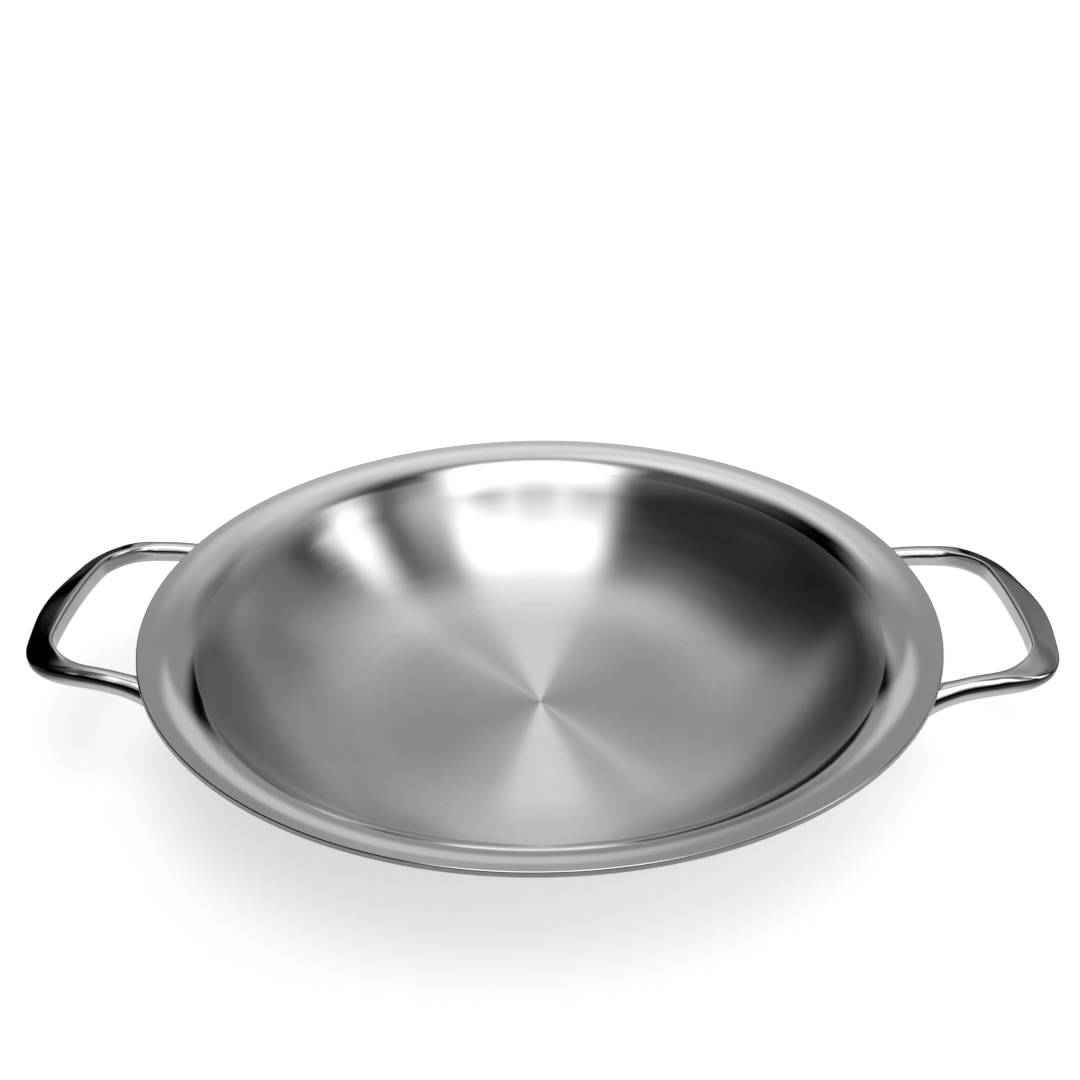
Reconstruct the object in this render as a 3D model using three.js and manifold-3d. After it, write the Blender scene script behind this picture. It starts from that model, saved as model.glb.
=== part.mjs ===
// Shallow round hot pot pan with a flared rim and two cast loop handles.
// Millimetres, +Z up, the flat base rests on z = 0, the handles lie along X.
import * as THREE from 'three';
import { mergeVertices } from 'three/addons/utils/BufferGeometryUtils.js';
import Module from 'manifold-3d';

// ---- driving dimensions -------------------------------------------------
const RIM_RADIUS = 160;          // outer edge of the flared rim
const INNER_PLY = 0.5;           // stainless lining
const CORE_PLY = 1.3;            // aluminium core
const OUTER_PLY = 0.5;           // magnetic stainless skin
const BOND = 0.002;              // bond line between two sheets
const FLAT_RADIUS = 64.5;        // flat part of the cooking surface
const WALL_ARC = 79.2;           // concave radius from the flat up to the wall
const WALL_ANGLE = 56.9;         // steepest slope of the wall, degrees
const FLARE_ARC = 36;            // convex radius from the wall out to the lip
const LIP_ANGLE = 8;             // slope of the narrow lip, degrees
const TURNS = 56;                // facets around the pan

const GAP = 0.4;                 // between a handle foot and the wall, bridged by the welds
const WELD_RADIUS = 2.6;
const WELD_PITCH = 8.4;          // between the two welds of a foot, along the wall

const GRIP_X = 197.0;            // centre line of the grip at its ends
const GRIP_BOW = 2.2;            // outward bow of the grip at its middle
const GRIP_RISE = 0.8;           // upward arch of the grip at its middle
const GRIP_FALL = 0.62;          // how far the top face falls outward, as a share of the half height
const CORNER_Y = 46.1;           // where the lines of arm and grip would meet
const CORNER_CUT = 20;           // length of line that the corner curve takes up
const FOOT_X = 110;              // start of the arm line, inside the wall
const FOOT_Y = 58.9;
const ARM_WIDTH = 8.0;
const ARM_HEIGHT = 8.5;
const CORNER_WIDTH = 11.0;
const GRIP_WIDTH = 13.8;
const GRIP_HEIGHT = 7.6;
const FOOT_WIDTH = 18;
const FOOT_HEIGHT = 14;
const STATIONS = 34;             // sections along a handle
const SECTION_POINTS = 14;       // points around a section

const SHEET = INNER_PLY + CORE_PLY + OUTER_PLY;
const rad = (deg) => (deg * Math.PI) / 180;
const smooth = (t) => {
  const c = Math.min(1, Math.max(0, t));
  return c * c * (3 - 2 * c);
};

// ---- the cooking surface as a profile of radius, height and slope --------
function profile() {
  const p = [];
  const add = (r, z, slope) => p.push({ r, z, slope });
  add(0, SHEET, 0);
  const arc = 7;
  for (let i = 0; i <= arc; i++) {
    const a = rad((WALL_ANGLE * i) / arc);
    add(FLAT_RADIUS + WALL_ARC * Math.sin(a), SHEET + WALL_ARC * (1 - Math.cos(a)), a);
  }
  const top = p[p.length - 1];
  const cr = top.r + FLARE_ARC * Math.sin(top.slope);
  const cz = top.z - FLARE_ARC * Math.cos(top.slope);
  const bend = 6;
  for (let i = 1; i <= bend; i++) {
    const a = rad(WALL_ANGLE + ((LIP_ANGLE - WALL_ANGLE) * i) / bend);
    add(cr - FLARE_ARC * Math.sin(a), cz + FLARE_ARC * Math.cos(a), a);
  }
  const lip = p[p.length - 1], a2 = rad(LIP_ANGLE);
  const rEnd = RIM_RADIUS - SHEET * Math.sin(a2);
  add(rEnd, lip.z + (rEnd - lip.r) * Math.tan(a2), a2);
  return p;
}
const PROFILE = profile();
const RIM_Z = PROFILE[PROFILE.length - 1].z;

// the same profile moved outward through the sheet
const offset = (d) => PROFILE.map((q) => new THREE.Vector2(q.r + d * Math.sin(q.slope), q.z - d * Math.cos(q.slope)));

// a sheet between two depths, turned about the axis
function sheet(from, to) {
  const a = offset(from), b = offset(to);
  const loop = [...b, ...a.reverse()];
  const g = new THREE.LatheGeometry(loop, TURNS);
  g.rotateX(Math.PI / 2);
  return g;
}

// ---- solids for cutting ---------------------------------------------------
const wasm = await Module();
wasm.setup();

function toSolid(geometry) {
  const g = geometry.clone();
  g.deleteAttribute('normal');
  g.deleteAttribute('uv');
  const m = mergeVertices(g, 1e-4);
  const ix = m.index.array;
  const keep = [];
  for (let i = 0; i < ix.length; i += 3) {
    if (ix[i] !== ix[i + 1] && ix[i + 1] !== ix[i + 2] && ix[i] !== ix[i + 2]) keep.push(ix[i], ix[i + 1], ix[i + 2]);
  }
  return new wasm.Manifold(new wasm.Mesh({
    numProp: 3,
    vertProperties: new Float32Array(m.attributes.position.array),
    triVerts: new Uint32Array(keep),
  }));
}
function toGeometry(solid) {
  const m = solid.getMesh();
  const g = new THREE.BufferGeometry();
  const pos = new Float32Array((m.vertProperties.length / m.numProp) * 3);
  for (let i = 0, j = 0; i < m.vertProperties.length; i += m.numProp, j += 3) {
    pos[j] = m.vertProperties[i];
    pos[j + 1] = m.vertProperties[i + 1];
    pos[j + 2] = m.vertProperties[i + 2];
  }
  g.setAttribute('position', new THREE.BufferAttribute(pos, 3));
  g.setIndex(new THREE.BufferAttribute(new Uint32Array(m.triVerts), 1));
  g.computeVertexNormals();
  return g;
}

// ---- handle ----------------------------------------------------------------
// centre line of the half at +Y, from the foot to the middle of the grip
function centreLine() {
  const A = new THREE.Vector2(FOOT_X, FOOT_Y), B = new THREE.Vector2(GRIP_X, CORNER_Y);
  const d = B.clone().sub(A).normalize();
  const P1 = B.clone().addScaledVector(d, -CORNER_CUT);
  const P2 = new THREE.Vector2(GRIP_X, CORNER_Y - CORNER_CUT);
  const corner = new THREE.CubicBezierCurve(
    P1, P1.clone().addScaledVector(d, CORNER_CUT * 0.56),
    P2.clone().add(new THREE.Vector2(0, CORNER_CUT * 0.56)), P2);
  const plan = [];
  for (let i = 0; i < 16; i++) plan.push(A.clone().lerp(P1, i / 16));
  for (let i = 0; i < 12; i++) plan.push(corner.getPoint(i / 12));
  for (let i = 0; i <= 8; i++) {
    const y = P2.y * (1 - i / 8);
    plan.push(new THREE.Vector2(GRIP_X + GRIP_BOW * (1 - (y / P2.y) ** 2), y));
  }
  return plan;
}
// height of the centre line, from the rim edge, along the arm and over the grip
const ARM_DROP = [[110, -21.0], [122, -19.8], [132, -17.4], [142, -13.6], [152, -10.3], [164, -7.9], [176, -6.8], [190, -6.2]];
function armZ(x) {
  const k = ARM_DROP;
  if (x <= k[0][0]) return k[0][1];
  for (let i = 1; i < k.length; i++) {
    if (x <= k[i][0]) {
      const t = (x - k[i - 1][0]) / (k[i][0] - k[i - 1][0]);
      return k[i - 1][1] + (k[i][1] - k[i - 1][1]) * t;
    }
  }
  return k[k.length - 1][1];
}
function handleGeometry() {
  const half = centreLine().map((q) => new THREE.Vector3(q.x, q.y, RIM_Z + armZ(q.x) + GRIP_RISE * smooth(1 - q.y / 40)));
  const other = half.slice(0, -1).reverse().map((q) => new THREE.Vector3(q.x, -q.y, q.z));
  const curve = new THREE.CatmullRomCurve3([...half, ...other], false, 'centripetal');
  curve.arcLengthDivisions = 600;
  const rings = [];
  for (let i = 0; i <= STATIONS; i++) {
    const u = i / STATIONS;
    const c = curve.getPointAt(u), t = curve.getTangentAt(u);
    const side = t.clone().cross(new THREE.Vector3(0, 0, 1)).normalize();
    const grip = smooth((c.x - (GRIP_X - 25)) / 21);
    const up = side.clone().cross(t).normalize();
    const mid = grip * smooth(1 - Math.abs(c.y) / 34);
    const foot = smooth((160 - c.x) / 36);
    const w = ARM_WIDTH + (CORNER_WIDTH - ARM_WIDTH) * grip + (GRIP_WIDTH - CORNER_WIDTH) * mid + (FOOT_WIDTH - ARM_WIDTH) * foot;
    const h = ARM_HEIGHT + (GRIP_HEIGHT - ARM_HEIGHT) * grip + (FOOT_HEIGHT - ARM_HEIGHT) * foot;
    const eTop = 2 / (2.3 + 3.2 * grip), eBottom = 2 / (2.3 + 0.3 * grip);
    const ring = [];
    for (let k = 0; k < SECTION_POINTS; k++) {
      const a = (2 * Math.PI * (k + 0.5)) / SECTION_POINTS;
      const e = Math.sin(a) > 0 ? eTop : eBottom;
      const x = Math.sign(Math.cos(a)) * Math.abs(Math.cos(a)) ** e;
      let y = Math.sign(Math.sin(a)) * Math.abs(Math.sin(a)) ** e;
      if (y > 0) y *= 1 + GRIP_FALL * grip * Math.abs(side.x) * x;
      ring.push(c.clone().addScaledVector(side, (x * w) / 2).addScaledVector(up, (y * h) / 2));
    }
    rings.push(ring);
  }
  const n = SECTION_POINTS, pos = [], idx = [];
  rings.forEach((ring) => ring.forEach((q) => pos.push(q.x, q.y, q.z)));
  for (let i = 0; i < STATIONS; i++) {
    for (let k = 0; k < n; k++) {
      const a = i * n + k, b = i * n + ((k + 1) % n), c = a + n, d = b + n;
      idx.push(a, c, b, b, c, d);
    }
  }
  const first = pos.length / 3;
  for (const end of [0, STATIONS]) {
    const m = rings[end].reduce((s, q) => s.add(q), new THREE.Vector3()).divideScalar(n);
    pos.push(m.x, m.y, m.z);
  }
  for (let k = 0; k < n; k++) {
    idx.push(first, k, (k + 1) % n);
    idx.push(first + 1, STATIONS * n + ((k + 1) % n), STATIONS * n + k);
  }
  const g = new THREE.BufferGeometry();
  g.setAttribute('position', new THREE.Float32BufferAttribute(pos, 3));
  g.setIndex(idx);
  return g;
}

// everything inside the wall plus the gap, which a foot must keep clear of
function wallBody(extra) {
  const b = offset(SHEET + extra);
  const end = b[b.length - 1];
  const loop = [...b, new THREE.Vector2(end.x, end.y + 12), new THREE.Vector2(0, end.y + 12)];
  const g = new THREE.LatheGeometry(loop, TURNS);
  g.rotateX(Math.PI / 2);
  return toSolid(g);
}
const wallOuter = wallBody(0);
const wallGap = wallBody(GAP);
const gapLayer = wallGap.subtract(wallOuter);
const handleRight = toSolid(handleGeometry()).subtract(wallGap);

// ---- welds -------------------------------------------------------------------
// point and outward normal of the wall's outer face at a slope of the concave arc
function wallPoint(angle) {
  const r = FLAT_RADIUS + (WALL_ARC + SHEET) * Math.sin(angle);
  const z = SHEET + WALL_ARC - (WALL_ARC + SHEET) * Math.cos(angle);
  return { r, z };
}
const FOOT_SLOPE = rad(54.0);     // slope of the wall at the middle of a foot
const FOOT_TURN = rad(26.0);      // bearing of the middle of a foot from the handle axis
function weldSolid(side, end, along) {
  const a = FOOT_SLOPE + along / (WALL_ARC + SHEET);
  const { r, z } = wallPoint(a);
  const bearing = FOOT_TURN - 0.0026 * along;
  const turn = Math.atan2(end * Math.sin(bearing), side * Math.cos(bearing));
  const n = new THREE.Vector3(Math.sin(a) * Math.cos(turn), Math.sin(a) * Math.sin(turn), -Math.cos(a));
  const g = new THREE.CylinderGeometry(WELD_RADIUS, WELD_RADIUS, 4, 14);
  g.applyQuaternion(new THREE.Quaternion().setFromUnitVectors(new THREE.Vector3(0, 1, 0), n));
  g.translate(r * Math.cos(turn), r * Math.sin(turn), z);
  return toSolid(g).intersect(gapLayer);
}

// ---- the assembly --------------------------------------------------------------
const part = new THREE.Group();
part.name = 'hot_pot_pan';
function addNode(name, geometry, colour, roughness, metalness) {
  geometry.computeVertexNormals();
  const mesh = new THREE.Mesh(geometry, new THREE.MeshStandardMaterial({ color: colour, roughness, metalness }));
  mesh.name = name;
  part.add(mesh);
}

addNode('pan_inner_ply', sheet(0, INNER_PLY), 0xc4c4c2, 0.34, 1);
addNode('pan_core_ply', sheet(INNER_PLY + BOND, INNER_PLY + CORE_PLY - BOND), 0xd2d4d6, 0.45, 1);
addNode('pan_outer_ply', sheet(INNER_PLY + CORE_PLY, SHEET), 0xb9babb, 0.22, 1);
addNode('handle_right', toGeometry(handleRight), 0xbfc0c1, 0.12, 1);
addNode('handle_left', toGeometry(handleRight.rotate([0, 0, 180])), 0xbfc0c1, 0.12, 1);
for (const [sideName, side] of [['left', -1], ['right', 1]]) {
  for (const [endName, end] of [['front', -1], ['back', 1]]) {
    for (const [rowName, along] of [['upper', WELD_PITCH / 2], ['lower', -WELD_PITCH / 2]]) {
      addNode(`weld_${sideName}_${endName}_${rowName}`, toGeometry(weldSolid(side, end, along)), 0x8d8f92, 0.5, 1);
    }
  }
}

export default part;
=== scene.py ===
"""Looks of the hot pot pan: turned sheets, cast loop handles, weld metal, studio floor and light."""
import math

import bpy
import numpy as np
from mathutils import Matrix, Vector, noise


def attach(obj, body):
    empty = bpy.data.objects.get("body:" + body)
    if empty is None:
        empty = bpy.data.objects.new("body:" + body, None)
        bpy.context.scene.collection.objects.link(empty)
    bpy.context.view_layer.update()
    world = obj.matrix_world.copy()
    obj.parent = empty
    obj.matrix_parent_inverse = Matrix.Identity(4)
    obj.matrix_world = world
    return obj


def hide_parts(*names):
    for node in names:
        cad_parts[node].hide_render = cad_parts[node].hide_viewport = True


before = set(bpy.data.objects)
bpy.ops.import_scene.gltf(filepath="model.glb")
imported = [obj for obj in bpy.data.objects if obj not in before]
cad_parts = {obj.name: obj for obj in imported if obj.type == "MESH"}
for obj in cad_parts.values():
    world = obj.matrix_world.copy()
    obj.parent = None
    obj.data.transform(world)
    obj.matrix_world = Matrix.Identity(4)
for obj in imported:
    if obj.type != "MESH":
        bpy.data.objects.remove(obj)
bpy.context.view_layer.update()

scene = bpy.context.scene
rad = math.radians

# ---- driving dimensions, millimetres (the same as the CAD) --------------------------
RIM_RADIUS = 160.0
INNER_PLY, CORE_PLY, OUTER_PLY = 0.5, 1.3, 0.5
SHEET = INNER_PLY + CORE_PLY + OUTER_PLY
FLAT_RADIUS, WALL_ARC, WALL_ANGLE = 64.5, 79.2, rad(56.9)
FLARE_ARC, LIP_ANGLE = 36.0, rad(8)
FLAT_BLEND = 5.0                 # half width of the ease between the flat and the curve
GAP = 0.4
POLISH_RADIUS = 139.0            # the satin ends here and the polished rim begins

GRIP_X, GRIP_BOW, GRIP_RISE, GRIP_FALL = 197.0, 2.2, 0.8, 0.62
CORNER_Y, CORNER_CUT = 46.1, 20.0
FOOT_X, FOOT_Y = 110.0, 58.9
ARM_WIDTH, ARM_HEIGHT = 8.0, 8.5
CORNER_WIDTH, GRIP_WIDTH, GRIP_HEIGHT = 11.0, 13.8, 7.6
FOOT_WIDTH, FOOT_HEIGHT = 18.0, 14.0
ARM_DROP = [(110, -21.0), (122, -19.8), (132, -17.4), (142, -13.6), (152, -10.3),
            (164, -7.9), (176, -6.8), (190, -6.2)]


def smooth(t):
    c = np.clip(t, 0.0, 1.0)
    return c * c * (3 - 2 * c)


# ---- the cooking surface as radius, height and slope ---------------------------------
def profile():
    rows = [(r, SHEET, 0.0) for r in np.linspace(0, FLAT_RADIUS - FLAT_BLEND, 25)]
    # the flat eases into the curve instead of meeting it in a ring
    first = math.asin(FLAT_BLEND / WALL_ARC)
    run = np.linspace(-FLAT_BLEND, FLAT_BLEND, 11)
    sine = (run + FLAT_BLEND) ** 2 / (4 * FLAT_BLEND * WALL_ARC)
    step = np.tan(np.arcsin(sine))
    rise = np.concatenate([[0.0], np.cumsum((step[1:] + step[:-1]) / 2 * np.diff(run))])
    lift = rise[-1] - WALL_ARC * (1 - math.cos(first))
    for x, q, h in list(zip(run, sine, rise))[1:]:
        rows.append((FLAT_RADIUS + x, SHEET + h, math.asin(q)))
    for a in np.linspace(first, WALL_ANGLE, 66)[1:]:
        rows.append((FLAT_RADIUS + WALL_ARC * math.sin(a), SHEET + lift + WALL_ARC * (1 - math.cos(a)), a))
    r0, z0, a0 = rows[-1]
    cr, cz = r0 + FLARE_ARC * math.sin(a0), z0 - FLARE_ARC * math.cos(a0)
    for a in np.linspace(WALL_ANGLE, LIP_ANGLE, 49)[1:]:
        rows.append((cr - FLARE_ARC * math.sin(a), cz + FLARE_ARC * math.cos(a), a))
    r1, z1, a1 = rows[-1]
    end = RIM_RADIUS - SHEET * math.sin(a1)
    for r in np.linspace(r1, end, 7)[1:]:
        rows.append((r, z1 + (r - r1) * math.tan(a1), a1))
    return np.array(rows)


PROFILE = profile()
RIM_Z = float(PROFILE[-1, 1])


def offset(d, trim=0.0):
    """The profile moved outward through the sheet, cut short of the rim edge by trim."""
    p = PROFILE.copy()
    if trim:
        r, z, a = p[-1]
        p[-1] = (r - trim * math.cos(a), z - trim * math.sin(a), a)
    return np.stack([p[:, 0] + d * np.sin(p[:, 2]), p[:, 1] - d * np.cos(p[:, 2])], 1)


def edge_round(radius, top):
    """Points of a rounded rim corner: from the sheet's face round to its cut edge."""
    r, z, a = PROFILE[-1]
    along = np.array([math.cos(a), math.sin(a)])
    down = np.array([math.sin(a), -math.cos(a)])
    tip = np.array([r, z]) + (0.0 if top else SHEET) * down
    inward = down if top else -down
    centre = tip - along * radius + inward * radius
    pts = []
    for t in np.linspace(0, math.pi / 2, 9):
        pts.append(centre - inward * radius * math.cos(t) + along * radius * math.sin(t))
    return np.array(pts)


def rim_wave(x, y):
    """Faint unevenness of the drawn and buffed rim, in millimetres of height."""
    r = math.hypot(x, y)
    w = float(smooth((r - 137.0) / 7.0))
    if w <= 0.0:
        return 0.0
    c, s = x / r, y / r
    n = noise.noise(Vector((c * 5.0, s * 5.0, r * 0.05 + 3.1)))
    m = noise.noise(Vector((c * 11.0, s * 11.0, r * 0.10 + 8.7)))
    return w * (0.045 * n + 0.018 * m)


def new_object(name, verts, faces, materials, pick=None, sharp=rad(40)):
    mesh = bpy.data.meshes.new(name)
    mesh.from_pydata([tuple(v) for v in np.asarray(verts) * 0.001], [], faces)
    for m in materials:
        mesh.materials.append(m)
    if pick is not None:
        mesh.polygons.foreach_set("material_index", np.asarray(pick, np.int32))
    mesh.validate()
    mesh.shade_smooth()
    mesh.set_sharp_from_angle(angle=sharp)
    mesh.update()
    obj = bpy.data.objects.new(name, mesh)
    scene.collection.objects.link(obj)
    return obj


def turned(name, loop, materials, choose, segments=384, wave=True):
    """A closed loop of radius and height, both ends on the axis, turned about Z."""
    loop = np.asarray(loop, float)
    angle = 2 * np.pi * np.arange(segments) / segments
    ca, sa = np.cos(angle), np.sin(angle)
    verts, rings = [], []
    for r, z in loop:
        if r < 1e-6:
            rings.append([len(verts)])
            verts.append((0.0, 0.0, z))
        else:
            rings.append(range(len(verts), len(verts) + segments))
            for c, s in zip(ca, sa):
                x, y = r * c, r * s
                verts.append((x, y, z + (rim_wave(x, y) if wave else 0.0)))
    faces, pick = [], []
    for i in range(len(rings) - 1):
        a, b = rings[i], rings[i + 1]
        slot = choose(loop[i], loop[i + 1])
        for j in range(segments):
            k = (j + 1) % segments
            if len(a) == 1 and len(b) == 1:
                continue
            if len(a) == 1:
                f = (a[0], b[j], b[k])
            elif len(b) == 1:
                f = (a[j], b[0], a[k])
            else:
                f = (a[j], b[j], b[k], a[k])
            faces.append(f)
            pick.append(slot)
    return new_object(name, verts, faces, materials, pick)


# ---- node helpers ----------------------------------------------------------------------
class Nodes:
    def __init__(self, tree):
        self.tree = tree
        tree.nodes.clear()

    def add(self, kind, **attrs):
        n = self.tree.nodes.new(kind)
        for k, v in attrs.items():
            setattr(n, k, v)
        return n

    def put(self, socket, value):
        if isinstance(value, bpy.types.NodeSocket):
            self.tree.links.new(value, socket)
        else:
            socket.default_value = value

    def math(self, op, a, b=0.0, c=0.0, clamp=False):
        n = self.add("ShaderNodeMath", operation=op, use_clamp=clamp)
        for s, v in zip(n.inputs, (a, b, c)):
            self.put(s, v)
        return n.outputs[0]

    def vec(self, op, a, b=(0, 0, 0), scale=None):
        n = self.add("ShaderNodeVectorMath", operation=op)
        self.put(n.inputs[0], a)
        if op not in ("LENGTH", "NORMALIZE", "SCALE"):
            self.put(n.inputs[1], b)
        if scale is not None:
            self.put(n.inputs["Scale"], scale)
        return n.outputs["Value"] if op in ("LENGTH", "DOT_PRODUCT") else n.outputs["Vector"]

    def split(self, v):
        n = self.add("ShaderNodeSeparateXYZ")
        self.put(n.inputs[0], v)
        return n.outputs

    def join(self, x, y, z):
        n = self.add("ShaderNodeCombineXYZ")
        for s, v in zip(n.inputs, (x, y, z)):
            self.put(s, v)
        return n.outputs[0]

    def noise(self, v, scale, detail=2.0, rough=0.5, distort=0.0):
        n = self.add("ShaderNodeTexNoise", noise_dimensions="3D")
        self.put(n.inputs["Vector"], v)
        self.put(n.inputs["Scale"], scale)
        self.put(n.inputs["Detail"], detail)
        self.put(n.inputs["Roughness"], rough)
        self.put(n.inputs["Distortion"], distort)
        return n.outputs["Fac"]

    def ramp(self, v, lo, hi, a=0.0, b=1.0, kind="SMOOTHSTEP"):
        n = self.add("ShaderNodeMapRange", interpolation_type=kind, clamp=True)
        for key, val in (("Value", v), ("From Min", lo), ("From Max", hi), ("To Min", a), ("To Max", b)):
            self.put(n.inputs[key], val)
        return n.outputs[0]

    def grey(self, v, tint=(1.0, 1.0, 1.0)):
        n = self.add("ShaderNodeCombineColor")
        for s, t in zip(n.inputs, tint):
            self.put(s, v if t == 1.0 else self.math("MULTIPLY", v, t))
        return n.outputs[0]

    def bump(self, height, strength, distance, normal=None):
        n = self.add("ShaderNodeBump")
        n.inputs["Strength"].default_value = strength
        n.inputs["Distance"].default_value = distance
        self.put(n.inputs["Height"], height)
        if normal is not None:
            self.put(n.inputs["Normal"], normal)
        return n.outputs[0]


def steel(name):
    """A metal material and its nodes: principled shader, object coordinates."""
    mat = bpy.data.materials.new(name)
    mat.use_nodes = True
    g = Nodes(mat.node_tree)
    out = g.add("ShaderNodeOutputMaterial")
    shader = g.add("ShaderNodeBsdfPrincipled")
    g.tree.links.new(shader.outputs[0], out.inputs[0])
    shader.inputs["Metallic"].default_value = 1.0
    place = g.add("ShaderNodeTexCoord").outputs["Object"]
    return mat, g, shader, place


def around(g, place):
    """Radius from the pan's axis, the unit vector outwards, and height, in metres."""
    x, y, z = g.split(place)
    flat = g.join(x, y, 0.0)
    return g.vec("LENGTH", flat), g.vec("NORMALIZE", flat), z


def turned_noise(g, r, unit, streaks, lines, z=None, detail=2.0, rough=0.5):
    """Noise drawn out around the axis: streaks cells per radian, lines cells per metre of radius."""
    across = r if z is None else g.math("ADD", r, z)
    v = g.vec("ADD", g.vec("SCALE", unit, scale=streaks),
              g.join(0.0, 0.0, g.math("MULTIPLY", across, lines)))
    return g.noise(v, 1.0, detail, rough)


def satin_lining():
    """Stainless lining brushed on a lathe: fine rings, radial sheen."""
    mat, g, s, place = steel("satin_steel")
    r, unit, z = around(g, place)
    hair = turned_noise(g, r, unit, 9.0, 5200.0, z, 2.0, 0.6)
    line = turned_noise(g, r, unit, 4.0, 1500.0, z, 2.0, 0.55)
    band = turned_noise(g, r, unit, 1.2, 160.0, z, 2.0, 0.5)
    cloud = g.noise(place, 22.0, 3.0, 0.55)
    tone = g.math("ADD", 0.565, g.math("MULTIPLY", line, 0.05))
    tone = g.math("ADD", tone, g.math("MULTIPLY", hair, 0.03))
    tone = g.math("ADD", tone, g.math("MULTIPLY", band, 0.035))
    tone = g.math("ADD", tone, g.math("MULTIPLY", cloud, 0.03))
    g.put(s.inputs["Base Color"], g.grey(tone))
    # the flat is brushed more coarsely than the wall
    rough = g.ramp(r, 0.050, 0.105, 0.34, 0.22)
    # even where it passes 0.274, at which the denoiser's guide passes change over
    uneven = g.ramp(g.math("ABSOLUTE", g.math("SUBTRACT", r, 0.0803)), 0.005, 0.016)
    grain = g.math("ADD", g.math("MULTIPLY", g.math("SUBTRACT", line, 0.5), 0.05),
                   g.math("MULTIPLY", g.math("SUBTRACT", band, 0.5), 0.04))
    rough = g.math("ADD", rough, g.math("MULTIPLY", grain, uneven))
    g.put(s.inputs["Roughness"], rough)
    s.inputs["Anisotropic"].default_value = 1.0
    s.inputs["Anisotropic Rotation"].default_value = 0.25
    tangent = g.add("ShaderNodeTangent", direction_type="RADIAL", axis="Z")
    g.put(s.inputs["Tangent"], tangent.outputs[0])
    height = g.math("ADD", g.math("MULTIPLY", hair, 0.5), g.math("MULTIPLY", line, 0.5))
    g.put(s.inputs["Normal"], g.bump(height, 0.3, 0.00002))
    return mat


def polished(name, tone=0.60, low=0.055, high=0.115, hair_lines=2600.0, hair=0.05):
    """Buffed stainless: near mirror with faint buffing lines and handling haze."""
    mat, g, s, place = steel(name)
    r, unit, z = around(g, place)
    lines = turned_noise(g, r, unit, 7.0, hair_lines, z, 2.0, 0.6)
    haze = g.noise(place, 34.0, 4.0, 0.6, 0.4)
    film = g.noise(place, 9.0, 2.0, 0.5)
    value = g.math("ADD", tone - 0.02, g.math("MULTIPLY", haze, 0.035))
    value = g.math("ADD", value, g.math("MULTIPLY", lines, 0.02))
    g.put(s.inputs["Base Color"], g.grey(value))
    amount = g.math("MULTIPLY", g.ramp(haze, 0.32, 0.72), g.ramp(film, 0.3, 0.7, 0.35, 1.0))
    rough = g.math("ADD", low, g.math("MULTIPLY", amount, high - low))
    rough = g.math("ADD", rough, g.math("MULTIPLY", lines, 0.02))
    g.put(s.inputs["Roughness"], rough)
    g.put(s.inputs["Normal"], g.bump(lines, hair, 0.00002))
    return mat


def cast_polish():
    """Polished casting: mirror with soft swirls of the buffing wheel and faint pits."""
    mat, g, s, place = steel("polished_casting_steel")
    swirl = g.noise(place, 60.0, 3.0, 0.6, 1.2)
    fine = g.noise(g.vec("MULTIPLY", place, (1.0, 2.4, 2.4)), 900.0, 2.0, 0.6)
    pits = g.noise(place, 1500.0, 1.0, 0.5)
    value = g.math("ADD", 0.585, g.math("MULTIPLY", swirl, 0.03))
    value = g.math("SUBTRACT", value, g.math("MULTIPLY", g.ramp(pits, 0.74, 0.80), 0.12))
    g.put(s.inputs["Base Color"], g.grey(value))
    rough = g.math("ADD", 0.055, g.math("MULTIPLY", g.ramp(swirl, 0.35, 0.75), 0.05))
    rough = g.math("ADD", rough, g.math("MULTIPLY", fine, 0.03))
    g.put(s.inputs["Roughness"], rough)
    g.put(s.inputs["Normal"], g.bump(g.math("ADD", swirl, g.math("MULTIPLY", fine, 0.08)), 0.10, 0.0002))
    return mat


def turned_base():
    """Underside of the pan: concentric turning marks and light wear where it slides."""
    mat, g, s, place = steel("turned_base_steel")
    r, unit, z = around(g, place)
    hair = turned_noise(g, r, unit, 6.0, 3000.0, None, 2.0, 0.6)
    ring = turned_noise(g, r, unit, 0.6, 420.0, None, 1.0, 0.5)
    wear = g.noise(place, 30.0, 4.0, 0.6)
    scratch = g.noise(g.vec("MULTIPLY", place, (1.0, 7.0, 1.0)), 160.0, 3.0, 0.6, 1.5)
    tone = g.math("ADD", 0.50, g.math("MULTIPLY", ring, 0.10))
    tone = g.math("ADD", tone, g.math("MULTIPLY", hair, 0.05))
    tone = g.math("SUBTRACT", tone, g.math("MULTIPLY", g.ramp(wear, 0.45, 0.75), 0.06))
    g.put(s.inputs["Base Color"], g.grey(tone))
    rough = g.math("ADD", 0.25, g.math("MULTIPLY", ring, 0.10))
    rough = g.math("ADD", rough, g.math("MULTIPLY", g.ramp(scratch, 0.5, 0.7), 0.06))
    g.put(s.inputs["Roughness"], rough)
    s.inputs["Anisotropic"].default_value = 0.85
    s.inputs["Anisotropic Rotation"].default_value = 0.25
    tangent = g.add("ShaderNodeTangent", direction_type="RADIAL", axis="Z")
    g.put(s.inputs["Tangent"], tangent.outputs[0])
    g.put(s.inputs["Normal"], g.bump(g.math("ADD", ring, g.math("MULTIPLY", hair, 0.3)), 0.25, 0.00008))
    return mat


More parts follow.
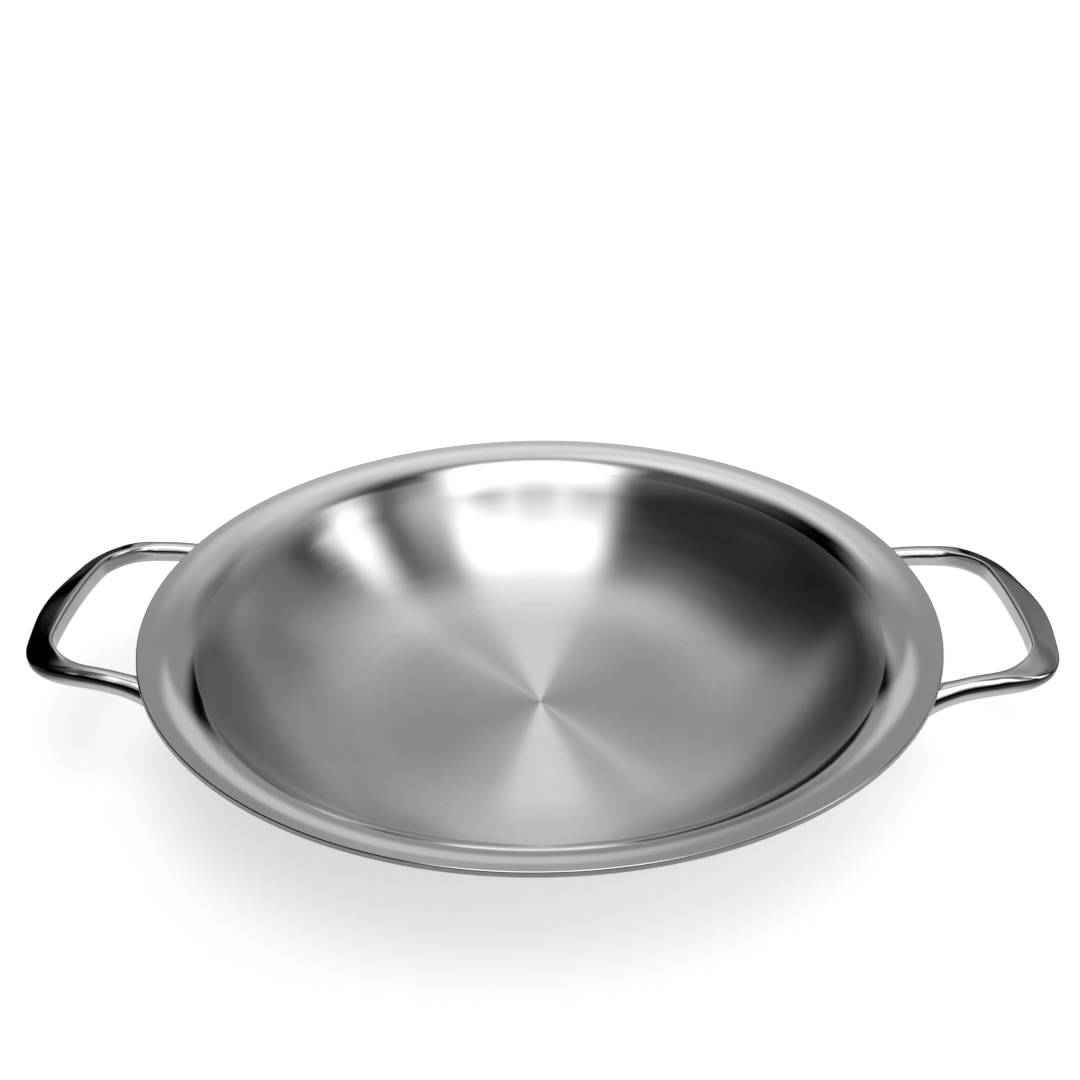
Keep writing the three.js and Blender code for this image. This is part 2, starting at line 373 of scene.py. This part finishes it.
def core_metal():
    """Cut edge of the aluminium core: matt, with saw and trim marks."""
    mat, g, s, place = steel("core_aluminium")
    r, unit, z = around(g, place)
    trim = g.noise(g.vec("ADD", g.vec("SCALE", unit, scale=260.0), g.join(0.0, 0.0, g.math("MULTIPLY", z, 2200.0))), 1.0, 2.0, 0.6)
    g.put(s.inputs["Base Color"], g.grey(g.math("ADD", 0.50, g.math("MULTIPLY", trim, 0.18)), (1.0, 1.004, 1.012)))
    g.put(s.inputs["Roughness"], g.math("ADD", 0.34, g.math("MULTIPLY", trim, 0.16)))
    g.put(s.inputs["Normal"], g.bump(trim, 0.3, 0.00005))
    return mat


def weld_metal():
    """Fused weld metal: dull, mottled by heat, with fine ripples."""
    mat, g, s, place = steel("weld_steel")
    mottle = g.noise(place, 900.0, 3.0, 0.6)
    ripple = g.noise(place, 2600.0, 2.0, 0.5)
    tint = g.add("ShaderNodeValToRGB")
    tint.color_ramp.elements[0].position, tint.color_ramp.elements[0].color = 0.3, (0.20, 0.19, 0.20, 1)
    tint.color_ramp.elements[1].position, tint.color_ramp.elements[1].color = 0.7, (0.46, 0.44, 0.42, 1)
    g.put(tint.inputs[0], mottle)
    g.put(s.inputs["Base Color"], tint.outputs[0])
    g.put(s.inputs["Roughness"], g.math("ADD", 0.38, g.math("MULTIPLY", mottle, 0.25)))
    g.put(s.inputs["Normal"], g.bump(ripple, 0.4, 0.0002))
    return mat


SATIN = satin_lining()
RIM = polished("polished_rim_steel")
SKIN = polished("polished_skin_steel", 0.56, 0.09, 0.18, 1800.0, 0.08)
BASE = turned_base()
CORE = core_metal()
CAST = cast_polish()
WELD = weld_metal()


# ---- the three sheets --------------------------------------------------------------------
def pan_lining():
    round_top = edge_round(0.42, True)
    face = offset(0.0, 0.42)[:-1]
    cut = PROFILE[-1, :2] + INNER_PLY * np.array([math.sin(LIP_ANGLE), -math.cos(LIP_ANGLE)])
    back = offset(INNER_PLY)[::-1]
    # a ring of vertices exactly where the polish begins
    i = int(np.searchsorted(face[:, 0], POLISH_RADIUS))
    t = (POLISH_RADIUS - face[i - 1, 0]) / (face[i, 0] - face[i - 1, 0])
    face = np.insert(face, i, face[i - 1] + t * (face[i] - face[i - 1]), axis=0)
    loop = np.concatenate([face, round_top, [cut], back[1:]])
    top = len(face) + len(round_top)

    order = {tuple(np.round(p, 6)): n for n, p in enumerate(loop)}

    def choose(a, b):
        n = order[tuple(np.round(a, 6))]
        return 0 if n < top and b[0] <= POLISH_RADIUS + 1e-6 else 1

    return turned("pan_lining", loop, [SATIN, RIM], choose)


def pan_core_sheet():
    top = offset(INNER_PLY + 0.002, 0.06)
    bottom = offset(INNER_PLY + CORE_PLY - 0.002, 0.06)[::-1]
    return turned("pan_core_sheet", np.concatenate([top, bottom]), [CORE], lambda a, b: 0, 288)


def pan_skin():
    round_low = edge_round(0.42, False)
    face = offset(SHEET, 0.42)[:-1]
    cut = PROFILE[-1, :2] + (INNER_PLY + CORE_PLY) * np.array([math.sin(LIP_ANGLE), -math.cos(LIP_ANGLE)])
    inner = offset(INNER_PLY + CORE_PLY)
    loop = np.concatenate([inner[:-1], [cut], round_low[::-1], face[::-1]])
    start = len(inner) + len(round_low)
    order = {tuple(np.round(p, 6)): n for n, p in enumerate(loop)}

    def choose(a, b):
        n = order[tuple(np.round(a, 6))]
        return 1 if n >= start and a[0] <= FLAT_RADIUS + 1e-6 else 0

    return turned("pan_skin", loop, [SKIN, BASE], choose)


# ---- the cast handles -----------------------------------------------------------------------
def smooth_line(values, width):
    """Gaussian smoothing along the first axis, ends held."""
    n = int(width * 3)
    k = np.exp(-0.5 * (np.arange(-n, n + 1) / width) ** 2)
    k /= k.sum()
    padded = np.concatenate([2 * values[:1] - values[n:0:-1], values, 2 * values[-1:] - values[-2:-n - 2:-1]])
    return np.stack([np.convolve(padded[:, i], k, "valid") for i in range(values.shape[1])], 1)


def centre_line(samples=1400):
    """The whole centre line from the foot at +Y, round the grip, to the foot at -Y, even in length."""
    A, B = np.array([FOOT_X, FOOT_Y]), np.array([GRIP_X, CORNER_Y])
    d = (B - A) / np.linalg.norm(B - A)
    P1, P2 = B - d * CORNER_CUT, np.array([GRIP_X, CORNER_Y - CORNER_CUT])
    C1, C2 = P1 + d * CORNER_CUT * 0.56, P2 + np.array([0, CORNER_CUT * 0.56])
    t = np.linspace(0, 1, 400)[:, None]
    arm = A + (P1 - A) * t
    turn = P1 * (1 - t) ** 3 + 3 * C1 * t * (1 - t) ** 2 + 3 * C2 * t * t * (1 - t) + P2 * t ** 3
    y = P2[1] * (1 - t)
    grip = np.concatenate([GRIP_X + GRIP_BOW * (1 - (y / P2[1]) ** 2), y], 1)
    half = np.concatenate([arm[:-1], turn[:-1], grip])
    knots = np.array(ARM_DROP, float)
    drop = np.interp(half[:, 0], knots[:, 0], knots[:, 1])
    z = RIM_Z + drop + GRIP_RISE * smooth(1 - half[:, 1] / 40)
    half = np.concatenate([half, z[:, None]], 1)
    full = np.concatenate([half, half[-2::-1] * np.array([1, -1, 1])])
    s = np.concatenate([[0], np.cumsum(np.linalg.norm(np.diff(full, axis=0), axis=1))])
    even = np.linspace(0, s[-1], samples)
    line = np.stack([np.interp(even, s, full[:, i]) for i in range(3)], 1)
    return smooth_line(line, 3.5 * samples / s[-1])


LINE = centre_line()
TANGENT = np.gradient(LINE, axis=0)
TANGENT /= np.linalg.norm(TANGENT, axis=1)[:, None]
WALL_OUT = offset(SHEET + GAP)


def section_frames():
    up0 = np.array([0.0, 0.0, 1.0])
    side = np.cross(TANGENT, up0)
    side /= np.linalg.norm(side, axis=1)[:, None]
    grip = smooth((LINE[:, 0] - (GRIP_X - 25)) / 21)
    up = np.cross(side, TANGENT)
    return side, up, grip


SIDE, UP, GRIP = section_frames()


def handle_points(u, k, points):
    """Surface points at places u (0 to 1) along the handle, on line k of the section."""
    f = u * (len(LINE) - 1)
    i = np.clip(f.astype(int), 0, len(LINE) - 2)
    t = (f - i)[:, None]
    mix = lambda a: a[i] * (1 - t) + a[i + 1] * t
    c, side, up = mix(LINE), mix(SIDE), mix(UP)
    grip = (GRIP[i] * (1 - t[:, 0]) + GRIP[i + 1] * t[:, 0])
    mid = grip * smooth(1 - np.abs(c[:, 1]) / 34)
    foot = smooth((160 - c[:, 0]) / 36)
    w = ARM_WIDTH + (CORNER_WIDTH - ARM_WIDTH) * grip + (GRIP_WIDTH - CORNER_WIDTH) * mid + (FOOT_WIDTH - ARM_WIDTH) * foot
    h = ARM_HEIGHT + (GRIP_HEIGHT - ARM_HEIGHT) * grip + (FOOT_HEIGHT - ARM_HEIGHT) * foot
    a = 2 * math.pi * (k + 0.5) / points
    e = 2 / (2.3 + (3.2 if math.sin(a) > 0 else 0.3) * grip)
    x = math.copysign(1, math.cos(a)) * abs(math.cos(a)) ** e
    y = math.copysign(1, math.sin(a)) * abs(math.sin(a)) ** e
    y = y * (1 + GRIP_FALL * grip * np.abs(side[:, 0]) * x) if math.sin(a) > 0 else y
    return c + side * (x * w / 2)[:, None] + up * (y * h / 2)[:, None], c


def wall_clear(p):
    """Height of the wall's outer face above a point: positive while the point is clear of it."""
    r = np.hypot(p[:, 0], p[:, 1])
    return np.where(r < WALL_OUT[-1, 0], np.interp(r, WALL_OUT[:, 0], WALL_OUT[:, 1]) - p[:, 2], 9.0)


def handle(name, turn, points=64, stations=150):
    v = np.linspace(0, 1, stations)
    rings = np.zeros((2 * stations - 1, points, 3))
    for k in range(points):
        lo, hi = 0.0, 0.30
        scan = np.linspace(0.30, 0.0, 900)
        clear = wall_clear(handle_points(scan, k, points)[0])
        hit = int(np.argmax(clear < 0)) if (clear < 0).any() else len(scan) - 1
        hi, lo = scan[max(hit - 1, 0)], scan[hit]
        for _ in range(40):
            m = (lo + hi) / 2
            if wall_clear(handle_points(np.array([m]), k, points)[0])[0] < 0:
                lo = m
            else:
                hi = m
        u = 0.5 * v + hi * (1 - v) ** 3
        p, c = handle_points(u, k, points)
        rings[:stations, k] = p
    # the half at -Y is the mirror image of this one
    rings[stations:] = rings[:stations - 1][::-1] * np.array([1, -1, 1])
    # soften the cut edge where the foot meets the wall
    centre = rings.mean(axis=1, keepdims=True)
    for end in (0, len(rings) - 1):
        rings[end] = centre[end] + (rings[end] - centre[end]) * 0.965
    pts = rings.reshape(-1, 3)
    move = np.zeros(len(pts))
    for n, q in enumerate(pts):
        move[n] = 0.05 * noise.noise(Vector(q * 0.075)) + 0.022 * noise.noise(Vector(q * 0.17 + 11.0))
    centres = np.repeat(centre.reshape(-1, 3), points, axis=0)
    out = pts - centres
    out /= np.linalg.norm(out, axis=1)[:, None]
    pts = pts + out * move[:, None]
    n = len(rings)
    faces = []
    for i in range(n - 1):
        for k in range(points):
            a, b = i * points + k, i * points + (k + 1) % points
            faces.append((a, a + points, b + points, b))
    caps = []
    for end in (0, n - 1):
        caps.append(len(pts) + len(caps))
    cap_pts = []
    for end in (0, n - 1):
        m = rings[end].mean(axis=0)
        r = math.hypot(m[0], m[1])
        cap_pts.append((m[0], m[1], np.interp(r, WALL_OUT[:, 0], WALL_OUT[:, 1])))
    pts = np.concatenate([pts, np.array(cap_pts)])
    for k in range(points):
        faces.append((caps[0], k, (k + 1) % points))
        faces.append((caps[1], (n - 1) * points + (k + 1) % points, (n - 1) * points + k))
    if turn:
        pts = pts * np.array([-1, -1, 1])
    return new_object(name, pts, faces, [CAST], None, rad(50))


lining, core, skin = pan_lining(), pan_core_sheet(), pan_skin()
right, left = handle("handle_right_cast", False), handle("handle_left_cast", True)

for piece, node, slot in (
    (lining, "pan_inner_ply", "satin_lining"),
    (core, "pan_core_ply", "core_sheet"),
    (skin, "pan_outer_ply", "outer_skin"),
    (right, "handle_right", "polished_casting"),
    (left, "handle_left", "polished_casting"),
):
    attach(piece, "root")
    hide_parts(node)
for name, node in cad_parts.items():
    if name.startswith("weld_"):
        node.data.materials.clear()
        node.data.materials.append(WELD)


# ---- floor -----------------------------------------------------------------------------------
def floor():
    n, size = 8, 12.0
    verts, faces = [], []
    for i in range(n + 1):
        for j in range(n + 1):
            verts.append(((i / n - 0.5) * 2 * size, (j / n - 0.5) * 2 * size, -0.0004))
    for i in range(n):
        for j in range(n):
            a = i * (n + 1) + j
            faces.append((a, a + n + 1, a + n + 2, a + 1))
    mesh = bpy.data.meshes.new("floor")
    mesh.from_pydata(verts, [], faces)
    mat = bpy.data.materials.new("floor_white")
    mat.use_nodes = True
    g = Nodes(mat.node_tree)
    out = g.add("ShaderNodeOutputMaterial")
    place = g.add("ShaderNodeTexCoord").outputs["Object"]
    tone = g.math("ADD", 0.80, g.math("MULTIPLY", g.noise(place, 3.0, 2.0), 0.02))
    # the camera sees a pale floor all over; reflections see a pale sheet under the pan in a dark room
    rays = g.add("ShaderNodeLightPath")
    reach = g.vec("LENGTH", place)
    sheet = g.ramp(reach, 0.215, 0.30, 1.0, 0.0)
    seen = g.math("SUBTRACT", 1.0, g.math("MULTIPLY", rays.outputs["Is Glossy Ray"],
                                          g.math("MULTIPLY", g.math("SUBTRACT", 1.0, sheet), 0.93)))
    diffuse = g.add("ShaderNodeBsdfDiffuse")
    g.put(diffuse.inputs["Color"], g.grey(g.math("MULTIPLY", tone, seen)))
    glow = g.add("ShaderNodeEmission")
    g.put(glow.inputs["Strength"], g.math("ADD", g.math("MULTIPLY", rays.outputs["Is Camera Ray"], 0.55),
                                          g.math("MULTIPLY", g.math("MULTIPLY", rays.outputs["Is Glossy Ray"], sheet), 0.25)))
    both = g.add("ShaderNodeAddShader")
    g.put(both.inputs[0], diffuse.outputs[0])
    g.put(both.inputs[1], glow.outputs[0])
    under = g.add("ShaderNodeBsdfTransparent")
    side = g.add("ShaderNodeMixShader")
    g.put(side.inputs[0], g.add("ShaderNodeNewGeometry").outputs["Backfacing"])
    g.put(side.inputs[1], both.outputs[0])
    g.put(side.inputs[2], under.outputs[0])
    g.put(out.inputs[0], side.outputs[0])
    mesh.materials.append(mat)
    obj = bpy.data.objects.new("floor", mesh)
    scene.collection.objects.link(obj)
    return obj


floor()


# ---- light: soft panels of a studio, placed by direction ---------------------------------------
# Boxes lie on a flat map of the sky: degrees from overhead, to the right and away from the camera.
# name, right, away, half width, half length, turn, taper, edge, level
BOXES = [
    ("overhead", 1.579, -10.3, 16.91, 18.52, 3.99, 0.336, 4.869, 2.341),
    ("overhead_front", 3.648, -38.86, 30.81, 8.767, 8.007, -0.0378, 6.624, 0.946),
    ("back_strip", -2.297, 30.88, 9.116, 19.7, 9.085, 0.0613, 8.299, 0.937),
    ("back_left_wing", -14.23, 33.18, 5.948, 15.38, 9.856, 0.108, 5.647, 0.749),
    ("back_right_wing", 14.37, 32.93, 8.355, 15.22, 24.97, -0.0414, 10.79, 0.934),
    ("window", 41.19, 2.05, 15.41, 4.823, -35.13, -0.525, 4.576, 1.455),
    ("right_beam", 33.43, 27.5, 8.92, 16.82, 4.527, -0.0157, 7.984, 0.418),
    ("right_front_high", 28.26, -29.25, 22.22, 16.34, -42.88, -0.579, 9.523, 0.508),
    ("left_high", -19.85, 0.855, 10.06, 24.06, 11.78, 0.138, 9.735, 0.12),
]
# Arcs stand round the horizon: heading clockwise from straight away, half angle, low, high, edges, level
ARCS = [
    ("window_low", 96.83, 10.24, 0.853, 44.15, 5.323, 5.809, 1.628),
    ("back", -3.911, 28.28, 12.81, 41.13, 11.07, 4.415, 0.393),
    ("back_left", 334.1, 13.41, 12.35, 18.13, 5.629, 4.172, 0.196),
    ("back_right_low", 48.85, 23.07, -7.3, 36.33, 6.171, 8.691, 0.19),
    ("front", 180, 19.13, 26.06, 48.87, 6.457, 5.86, 0.693),
    ("right_near", 136.5, 14.2, 25.67, 42.57, 7.9, 8.023, 0.625),
    ("right_horizon", 47.75, 8.244, -4.895, 16.4, 10.03, 3.519, 0.108),
    ("back_low_left", -4.0, 4.9, -4.0, 26.5, 2.4, 2.5, 0.42),
    ("left_far_low", 265.3, 12.83, 0.0, 17.61, 6.352, 5.9, 0.0678),
    ("pane_bar_1", 146.0, 3.0, 29.0, 48.0, 2.0, 3.0, 0.40),
    ("pane_bar_2", 167.0, 3.0, 29.0, 48.0, 2.0, 3.0, 0.55),
    ("pane_bar_3", 188.5, 3.6, 29.0, 48.0, 2.0, 3.0, 0.55),
    ("pane_bar_4", 207.0, 3.0, 29.0, 48.0, 2.0, 3.0, 0.40),
]
UNDER = 0.35                     # light from below the horizon, seen only under the open floor


def studio():
    world = bpy.data.worlds.new("studio")
    scene.world = world
    world.use_nodes = True
    g = Nodes(world.node_tree)
    out = g.add("ShaderNodeOutputWorld")
    d = g.vec("NORMALIZE", g.add("ShaderNodeTexCoord").outputs["Generated"])
    x, y, z = g.split(d)
    flat = g.vec("NORMALIZE", g.join(x, y, 0.0))
    hx, hy, _ = g.split(flat)
    height = g.math("DEGREES", g.math("ARCSINE", z))
    from_top = g.math("SUBTRACT", 90.0, height)
    px, py = g.math("MULTIPLY", from_top, hx), g.math("MULTIPLY", from_top, hy)
    total = g.math("MULTIPLY", g.ramp(z, -0.02, 0.0, 1.0, 0.0), UNDER)

    def inside(distance, half, edge):
        gap = g.math("SUBTRACT", distance, half)
        return g.ramp(gap, -edge, edge, 1.0, 0.0)

    def add(name, mask, level):
        nonlocal total
        part = g.math("MULTIPLY", mask, level)
        part.node.name = "level " + name
        total = g.math("ADD", total, part)

    for name, cx, cy, half_w, half_l, turn, taper, edge, level in BOXES:
        c, s = math.cos(rad(turn)), math.sin(rad(turn))
        dx, dy = g.math("SUBTRACT", px, cx), g.math("SUBTRACT", py, cy)
        u = g.math("ADD", g.math("MULTIPLY", dx, c), g.math("MULTIPLY", dy, s))
        v = g.math("SUBTRACT", g.math("MULTIPLY", dy, c), g.math("MULTIPLY", dx, s))
        wide = g.math("SUBTRACT", half_w, g.math("MULTIPLY", v, taper)) if taper else half_w
        mask = g.math("MULTIPLY", inside(g.math("ABSOLUTE", u), wide, edge), inside(g.math("ABSOLUTE", v), half_l, edge))
        add(name, mask, level)
    for name, heading, half, low, high, edge_a, edge_h, level in ARCS:
        along = g.math("ADD", g.math("MULTIPLY", hx, math.sin(rad(heading))), g.math("MULTIPLY", hy, math.cos(rad(heading))))
        turn = g.math("DEGREES", g.math("ARCCOSINE", along))
        rise = inside(g.math("ABSOLUTE", g.math("SUBTRACT", height, (low + high) / 2)), (high - low) / 2, edge_h)
        add(name, g.math("MULTIPLY", inside(turn, half, edge_a), rise), level)

    light = g.add("ShaderNodeBackground")
    g.put(light.inputs["Color"], g.grey(total))
    pale = g.add("ShaderNodeBackground")
    pale.inputs["Color"].default_value = (0.95, 0.95, 0.95, 1)
    mix = g.add("ShaderNodeMixShader")
    g.put(mix.inputs[0], g.add("ShaderNodeLightPath").outputs["Is Camera Ray"])
    g.put(mix.inputs[1], light.outputs[0])
    g.put(mix.inputs[2], pale.outputs[0])
    g.put(out.inputs[0], mix.outputs[0])


studio()


# ---- camera -------------------------------------------------------------------------------------
def camera():
    D, e, az = 0.512, rad(30.87), rad(-1.80)
    yaw, pitch, roll, F = rad(-0.059), rad(2.615), rad(-0.540), 1244.3
    ce, se, ca, sa = math.cos(e), math.sin(e), math.cos(az), math.sin(az)
    to_row = lambda q: Vector((q[0] * ca + q[1] * sa, -q[0] * sa + q[1] * ca, q[2]))
    X, Y, Z = Vector((1, 0, 0)), Vector((0, se, ce)), Vector((0, ce, -se))
    cy, sy, cp, sp = math.cos(yaw), math.sin(yaw), math.cos(pitch), math.sin(pitch)
    cr, sr = math.cos(roll), math.sin(roll)
    right_ = cy * X + sy * (sp * Y + cp * Z)
    up_ = cp * Y - sp * Z
    ahead = -sy * X + cy * (sp * Y + cp * Z)
    xf, yf = cr * right_ + sr * up_, cr * up_ - sr * right_
    place = to_row((0.0, -D * ce, D * se)) + Vector((0, 0, RIM_Z * 0.001))
    m = Matrix((to_row(xf), to_row(yf), -to_row(ahead))).transposed().to_4x4()
    m.translation = place
    data = bpy.data.cameras.new("camera")
    data.sensor_fit = "HORIZONTAL"
    data.sensor_width = 36.0
    data.lens = F * 36.0 / 1080.0
    data.clip_start, data.clip_end = 0.01, 100.0
    obj = bpy.data.objects.new("camera", data)
    scene.collection.objects.link(obj)
    obj.matrix_world = m
    scene.camera = obj


camera()
scene.view_settings.view_transform = "Standard"
scene.view_settings.look = "None"
